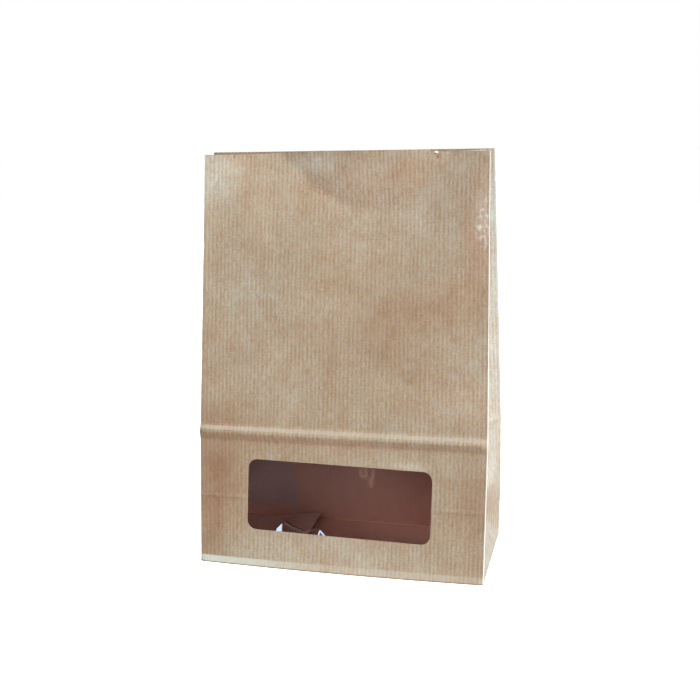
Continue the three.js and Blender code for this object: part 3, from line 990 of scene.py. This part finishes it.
def kraft_material(name, settings, inside):
    """Ribbed kraft paper, worn pale along its folds, with painted highlights there. The inside is a brighter,
    redder copy of the paper, painted light for the light through the paper, with the outside's tones at the
    mouth.
    """
    shading = Shading(name)
    place = shading.add("ShaderNodeUVMap", uv_map="paper").outputs["UV"]
    parts = shading.add("ShaderNodeSeparateXYZ", {0: place})
    u, s = parts.outputs[0], parts.outputs[1]
    rib, tone = kraft_tone(shading, place, settings.rib_pitch)
    colour = shading.mix(tone, settings.dark_colour, settings.light_colour)
    if inside:
        # The inside's brighter, redder tones: painted light
        inside_glow = shading.mix(tone, settings.inside_glow_dark_colour, settings.inside_glow_pale_colour)
        colour = shading.mix(shading.rise(s, *MOUTH_FADE), inside_glow, colour)
    for cells, low, high in HUE_NOISES[-1:] if inside else HUE_NOISES:
        colour = shading.tint(colour, shading.mix(shading.noise(place, cells, detail=1), low, high))
    if not inside:
        colour = paint_outside(shading, colour, place, u, s)
    # Wear, with the painted highlights along the folds and on the nick
    wear = shading.math("MULTIPLY", wear_and_highlights(shading, place, u, s), settings.wear, clamp=True)
    colour = shading.mix(wear, colour, settings.worn_and_lit_colour)
    mark = mark_inside if inside else mark_outside
    colour = mark(shading, colour, u, s)
    fibre = shading.noise(place, FIBRE_CELLS, detail=2, roughness=FIBRE_ROUGHNESS)
    relief_inputs = {
        "Height": shading.math("MULTIPLY_ADD", rib, RIB_RELIEF, fibre),
        "Strength": BUMP_STRENGTH,
        "Distance": BUMP_DEPTH * MM,
    }
    inputs = {
        "Base Color": colour,
        "Roughness": shading.ramp(fibre, 0.3, 0.7, *PAPER_ROUGHNESS),
        "Normal": shading.add("ShaderNodeBump", relief_inputs).outputs[0],
        "IOR": PAPER_IOR,
        "Specular IOR Level": PAPER_GLOSS,
    }
    return shading.finish(shading.add("ShaderNodeBsdfPrincipled", inputs).outputs[0])


def film_material(settings):
    """Thin clear film: see-through, with a gloss, a few dull smears and painted glints."""
    shading = Shading("clear_film")
    place = shading.add("ShaderNodeUVMap", uv_map="paper").outputs["UV"]
    clear = shading.add("ShaderNodeBsdfTransparent", {"Color": settings.film_tint})
    gloss_inputs = {"Base Color": (0, 0, 0), "Roughness": FILM_ROUGHNESS, "Specular IOR Level": 1.0}
    gloss = shading.add("ShaderNodeBsdfPrincipled", gloss_inputs)
    facing = shading.add("ShaderNodeFresnel", {"IOR": FILM_IOR}).outputs[0]
    smooth = shading.add("ShaderNodeMixShader", {0: facing, 1: clear.outputs[0], 2: gloss.outputs[0]})
    glint_and_smear = shading.add("ShaderNodeAttribute", attribute_name="crinkle_glint_and_smear").outputs["Fac"]
    haze = shading.ramp(shading.noise(place, HAZE_CELLS, detail=3), 0.4, 0.75, 0.0, HAZE)
    # The smears, and the glints painted as bluish white colour
    haze = shading.math("MAXIMUM", haze, glint_and_smear)
    smear_and_glint_colour = shading.mix(shading.ramp(glint_and_smear, 0.2, 0.5), SMEAR_COLOUR, GLINT_COLOUR)
    dull = shading.add("ShaderNodeBsdfPrincipled", {"Base Color": smear_and_glint_colour, "Roughness": SMEAR_ROUGHNESS})
    surface = shading.add("ShaderNodeMixShader", {0: haze, 1: smooth.outputs[0], 2: dull.outputs[0]})
    return shading.finish(surface.outputs[0])


def floor_material(settings):
    """A white floor lit from within, so that the bag's shadow on it stays faint. It is clear from below."""
    shading = Shading("pale_floor")
    inputs = {
        "Base Color": settings.floor_colour,
        "Roughness": FLOOR_ROUGHNESS,
        "Emission Color": WHITE,
        "Emission Strength": settings.floor_glow,
    }
    white = shading.add("ShaderNodeBsdfPrincipled", inputs)
    clear = shading.add("ShaderNodeBsdfTransparent")
    below = shading.add("ShaderNodeNewGeometry").outputs["Backfacing"]
    surface = shading.add("ShaderNodeMixShader", {0: below, 1: white.outputs[0], 2: clear.outputs[0]})
    return shading.finish(surface.outputs[0])


# ---------------------------------------------------------------- settings


class PaperBagSettings(bpy.types.PropertyGroup):
    """Sizes and colours of the folded sheet."""

    paper_thickness: FloatProperty(
        name="Paper Thickness", description="Thickness of the sheet",
        default=0.1 * MM, unit="LENGTH", precision=5,
    )
    crumple: FloatProperty(
        name="Crumple", description="Depth of the soft dents, in millimetres", default=0.5, min=0, max=2
    )
    window_width: FloatProperty(
        name="Window Width", description="Width of the window", default=116 * MM, unit="LENGTH"
    )
    window_height: FloatProperty(
        name="Window Height", description="Height of the window", default=44.4 * MM, unit="LENGTH"
    )
    window_radius: FloatProperty(
        name="Window Corner", description="Radius of the window's corners", default=6 * MM, unit="LENGTH"
    )
    rib_pitch: FloatProperty(
        name="Rib Pitch", description="Distance from rib to rib of the paper", default=2.6 * MM, unit="LENGTH"
    )
    light_colour: FloatVectorProperty(
        name="Light Kraft", description="The palest of the paper's tones", subtype="COLOR", size=3,
        default=(0.280, 0.231, 0.166), min=0, max=1,
    )
    dark_colour: FloatVectorProperty(
        name="Dark Kraft", description="The darkest of the paper's tones", subtype="COLOR", size=3,
        default=(0.204, 0.121, 0.064), min=0, max=1,
    )
    # The inside's tones are painted light: brighter and redder than the outside's, for the light through the
    # paper
    inside_glow_pale_colour: FloatVectorProperty(
        name="Light Kraft Inside", description="The palest tone on the inside", subtype="COLOR", size=3,
        default=(0.97, 0.60, 0.50), min=0, max=1,
    )
    inside_glow_dark_colour: FloatVectorProperty(
        name="Dark Kraft Inside", description="The darkest tone on the inside", subtype="COLOR", size=3,
        default=(0.93, 0.53, 0.43), min=0, max=1,
    )
    # Also the colour of the painted highlights along the folds and on the nick
    worn_and_lit_colour: FloatVectorProperty(
        name="Worn Paper", description="Pale fibres along the folds", subtype="COLOR", size=3,
        default=(0.77, 0.77, 0.77), min=0, max=1,
    )
    wear: FloatProperty(
        name="Wear", description="How pale the folds are worn", default=0.65, subtype="FACTOR", min=0, max=1
    )


class WindowFilmSettings(bpy.types.PropertyGroup):
    """Size and look of the film behind the window."""

    margin: FloatProperty(
        name="Glued Margin", description="How far the film reaches past the window",
        default=8 * MM, unit="LENGTH",
    )
    thickness: FloatProperty(
        name="Film Thickness", description="Thickness of the film",
        default=0.06 * MM, unit="LENGTH", precision=5,
    )
    slack: FloatProperty(
        name="Slack", description="How far the film sags behind the window", default=1.2 * MM, unit="LENGTH"
    )
    film_tint: FloatVectorProperty(
        name="Film Tint", description="Colour of the light through the film", subtype="COLOR", size=3,
        default=(0.97, 0.97, 0.98), min=0, max=1,
    )


class BagStageSettings(bpy.types.PropertyGroup):
    """The floor, the lights and the camera."""

    floor_colour: FloatVectorProperty(
        name="Floor", description="Colour of the floor", subtype="COLOR", size=3, default=(0.85, 0.85, 0.85),
        min=0, max=1,
    )
    floor_glow: FloatProperty(
        name="Floor Glow", description="How much light the white floor gives off", default=1.0, min=0
    )
    backdrop: FloatProperty(
        name="Backdrop", description="Strength of the white light from behind the bag", default=0.6, min=0
    )
    room: FloatProperty(
        name="Room", description="Strength of the light from in front of the bag", default=0.14, min=0
    )
    side_strength: FloatProperty(
        name="Side Light", description="Strength of the light from the right", default=8.3, min=0
    )
    top_strength: FloatProperty(
        name="Top Light", description="Strength of the softbox high on the left", default=2.65, min=0
    )
    back_strength: FloatProperty(
        name="Back Lights", description="Strength of the lights behind the bag", default=2.1, min=0
    )
    fill_strength: FloatProperty(
        name="Fill Lights", description="Strength of the two weak lights in front", default=0.22, min=0
    )
    base_strength: FloatProperty(
        name="Base Light", description="Strength of the light on the underside", default=0.9, min=0
    )


# ---------------------------------------------------------------- operators


class OBJECT_OT_paper_bag(bpy.types.Operator):
    """Fold the paper bag from its flat sheet"""

    bl_idname = "object.paper_bag_add"
    bl_label = "Paper Bag"

    def execute(self, context):
        settings = context.scene.paper_bag
        bag = lay_grid("paper_bag", sheet_columns(), sheet_rows())
        cut_flap_ends(bag)
        fold_sheet(bag, settings.crumple)
        bag.data.materials.append(kraft_material("kraft_outside", settings, inside=False))
        bag.data.materials.append(kraft_material("kraft_inside_painted_glow", settings, inside=True))
        apply_modifier(
            bag, "SOLIDIFY", thickness=settings.paper_thickness, offset=-1, use_even_offset=False,
            material_offset=1,
        )
        cut_window(bag, settings)
        activate(bag)
        bpy.ops.object.shade_smooth_by_angle(angle=PAPER_SMOOTH_ANGLE)
        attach(bag, "root")
        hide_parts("bag")
        return {"FINISHED"}


class OBJECT_OT_window_film(bpy.types.Operator):
    """Lay the clear film behind the window"""

    bl_idname = "object.paper_bag_film_add"
    bl_label = "Window Film"

    def execute(self, context):
        bag = context.scene.paper_bag
        settings = context.scene.paper_bag_film
        half_wide = bag.window_width / 2 / MM
        half_high = bag.window_height / 2 / MM
        margin = settings.margin / MM
        columns = film_steps(half_wide + margin, *FILM_FINE_ACROSS)
        rows = film_steps(half_high + margin, *FILM_FINE_UP)
        film = lay_grid("clear_window_film", columns, rows)
        places = vertex_array(film)[:, :2]
        across, up = places[:, 0], places[:, 1]
        sag = film_sag(across, up, half_wide, half_high, settings.slack / MM)
        depth = bag.paper_thickness / MM + FILM_GAP + sag
        film.data.vertices.foreach_set("co", (point(across, up, -depth) * MM).ravel())
        write_paper_map(film, places)
        crinkle_glint_and_smear = film.data.attributes.new("crinkle_glint_and_smear", "FLOAT", "POINT")
        crinkle_glint_and_smear.data.foreach_set("value", film_glints_and_smears(across, up))
        film.data.transform(window_place())
        film.data.update()
        film.data.materials.append(film_material(settings))
        apply_modifier(film, "SOLIDIFY", thickness=settings.thickness, offset=-1)
        activate(film)
        bpy.ops.object.shade_smooth_by_angle(angle=FILM_SMOOTH_ANGLE)
        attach(film, "root")
        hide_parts("window_film")
        return {"FINISHED"}


# The floor's width in metres and how far it is under the bag, and where the backdrop begins and is full,
# from -1 in front of the bag to 1 behind it
FLOOR_WIDTH = 6
FLOOR_GAP = 0.05
BACKDROP_STARTS = (-0.3, 0.5)


def photo_camera():
    """The camera at the photograph's place and angle."""
    back = Vector((math.sin(CAMERA_AZIMUTH), -math.cos(CAMERA_AZIMUTH), 0))
    right = Vector((math.cos(CAMERA_AZIMUTH), math.sin(CAMERA_AZIMUTH), 0))
    forward = -back * math.cos(CAMERA_PITCH) - Vector((0, 0, math.sin(CAMERA_PITCH)))
    up = right.cross(forward)
    rolled_right = right * math.cos(CAMERA_ROLL) + up * math.sin(CAMERA_ROLL)
    rolled_up = up * math.cos(CAMERA_ROLL) - right * math.sin(CAMERA_ROLL)
    deselect_all()
    bpy.ops.object.camera_add()
    camera = bpy.context.object
    camera.name = camera.data.name = "camera"
    turn = Matrix((rolled_right, rolled_up, -forward)).transposed().to_4x4()
    camera.matrix_world = Matrix.Translation(Vector(CAMERA_PLACE)) @ turn
    camera.data.lens = CAMERA_LENS
    camera.data.sensor_width = SENSOR
    camera.data.clip_start = CLIP_START
    bpy.context.scene.camera = camera


def far_softbox(name, azimuth, height, breadth, strength, colour=WHITE):
    """A soft light from far away: degrees to the right of the front, above the floor and across."""
    deselect_all()
    bpy.ops.object.light_add(type="SUN")
    light = bpy.context.object
    light.name = light.data.name = name
    turn = math.radians(azimuth)
    rise = math.radians(height)
    place = Vector((math.sin(turn) * math.cos(rise), -math.cos(turn) * math.cos(rise), math.sin(rise)))
    light.matrix_world = Matrix.Translation(place) @ (-place).to_track_quat("-Z", "Y").to_matrix().to_4x4()
    light.data.angle = math.radians(breadth)
    light.data.energy = strength
    light.data.color = colour


def surround_world(settings):
    """White for the camera. For the bag, a white backdrop behind it and a dim room in front."""
    world = bpy.data.worlds.new("surround")
    world.use_nodes = True
    tree = world.node_tree
    tree.nodes.clear()
    place = tree.nodes.new("ShaderNodeTexCoord")
    parts = tree.nodes.new("ShaderNodeSeparateXYZ")
    strength = tree.nodes.new("ShaderNodeMapRange")
    strength.interpolation_type = "SMOOTHSTEP"
    values = (*BACKDROP_STARTS, settings.room, settings.backdrop)
    for socket, value in zip(("From Min", "From Max", "To Min", "To Max"), values):
        strength.inputs[socket].default_value = value
    light = tree.nodes.new("ShaderNodeBackground")
    seen = tree.nodes.new("ShaderNodeBackground")
    path = tree.nodes.new("ShaderNodeLightPath")
    mix = tree.nodes.new("ShaderNodeMixShader")
    output = tree.nodes.new("ShaderNodeOutputWorld")
    light.inputs[0].default_value = seen.inputs[0].default_value = (*WHITE, 1)
    seen.inputs[1].default_value = 1.0
    for source, target in (
        (place.outputs["Generated"], parts.inputs[0]),
        (parts.outputs[1], strength.inputs["Value"]),
        (strength.outputs[0], light.inputs[1]),
        (path.outputs["Is Camera Ray"], mix.inputs[0]),
        (light.outputs[0], mix.inputs[1]),
        (seen.outputs[0], mix.inputs[2]),
        (mix.outputs[0], output.inputs[0]),
    ):
        tree.links.new(source, target)
    return world


class SCENE_OT_paper_bag_stage(bpy.types.Operator):
    """Set the floor, the lights and the camera"""

    bl_idname = "scene.paper_bag_stage"
    bl_label = "Stage"

    def execute(self, context):
        settings = context.scene.paper_bag_stage
        deselect_all()
        bpy.ops.mesh.primitive_plane_add(size=FLOOR_WIDTH, location=(0, 0, -FLOOR_GAP * MM))
        floor = bpy.context.object
        floor.name = floor.data.name = "floor"
        floor.data.materials.append(floor_material(settings))
        floor.visible_diffuse = False
        floor.visible_glossy = False
        context.scene.world = surround_world(settings)
        softboxes = (
            ("side_light", 60, 11, 30, settings.side_strength, (0.95, 1, 1.05)),
            ("top_light", -60, 65, 30, settings.top_strength),
            ("back_light_right", 125, 15, 30, settings.back_strength, (0.8, 1, 1.2)),
            ("back_light_left", -140, 25, 40, 2 * settings.back_strength),
            ("fill_light_right", 20, 10, 30, settings.fill_strength),
            ("fill_light_left", -20, 25, 30, settings.fill_strength),
            ("base_light", 0, -90, 60, settings.base_strength),
        )
        for softbox in softboxes:
            far_softbox(*softbox)
        photo_camera()
        context.scene.view_settings.view_transform = "Standard"
        return {"FINISHED"}


class VIEW3D_PT_paper_bag(bpy.types.Panel):
    """The bag's pieces, sizes and colours"""

    bl_label = "Paper Bag"
    bl_idname = "VIEW3D_PT_paper_bag"
    bl_space_type = "VIEW_3D"
    bl_region_type = "UI"
    bl_category = "Paper Bag"

    def draw(self, context):
        for operator, group in (
            (OBJECT_OT_paper_bag, context.scene.paper_bag),
            (OBJECT_OT_window_film, context.scene.paper_bag_film),
            (SCENE_OT_paper_bag_stage, context.scene.paper_bag_stage),
        ):
            box = self.layout.box()
            box.operator(operator.bl_idname)
            for setting in group.bl_rna.properties:
                if not setting.is_readonly and setting.identifier != "name":
                    box.prop(group, setting.identifier)


CLASSES = (
    PaperBagSettings,
    WindowFilmSettings,
    BagStageSettings,
    OBJECT_OT_paper_bag,
    OBJECT_OT_window_film,
    SCENE_OT_paper_bag_stage,
    VIEW3D_PT_paper_bag,
)


def register():
    for cls in CLASSES:
        bpy.utils.register_class(cls)
    bpy.types.Scene.paper_bag = PointerProperty(type=PaperBagSettings)
    bpy.types.Scene.paper_bag_film = PointerProperty(type=WindowFilmSettings)
    bpy.types.Scene.paper_bag_stage = PointerProperty(type=BagStageSettings)


def unregister():
    del bpy.types.Scene.paper_bag_stage
    del bpy.types.Scene.paper_bag_film
    del bpy.types.Scene.paper_bag
    for cls in reversed(CLASSES):
        bpy.utils.unregister_class(cls)


def main():
    register()
    bpy.ops.scene.paper_bag_stage()
    bpy.ops.object.paper_bag_add()
    bpy.ops.object.paper_bag_film_add()


if __name__ == "__main__":
    main()
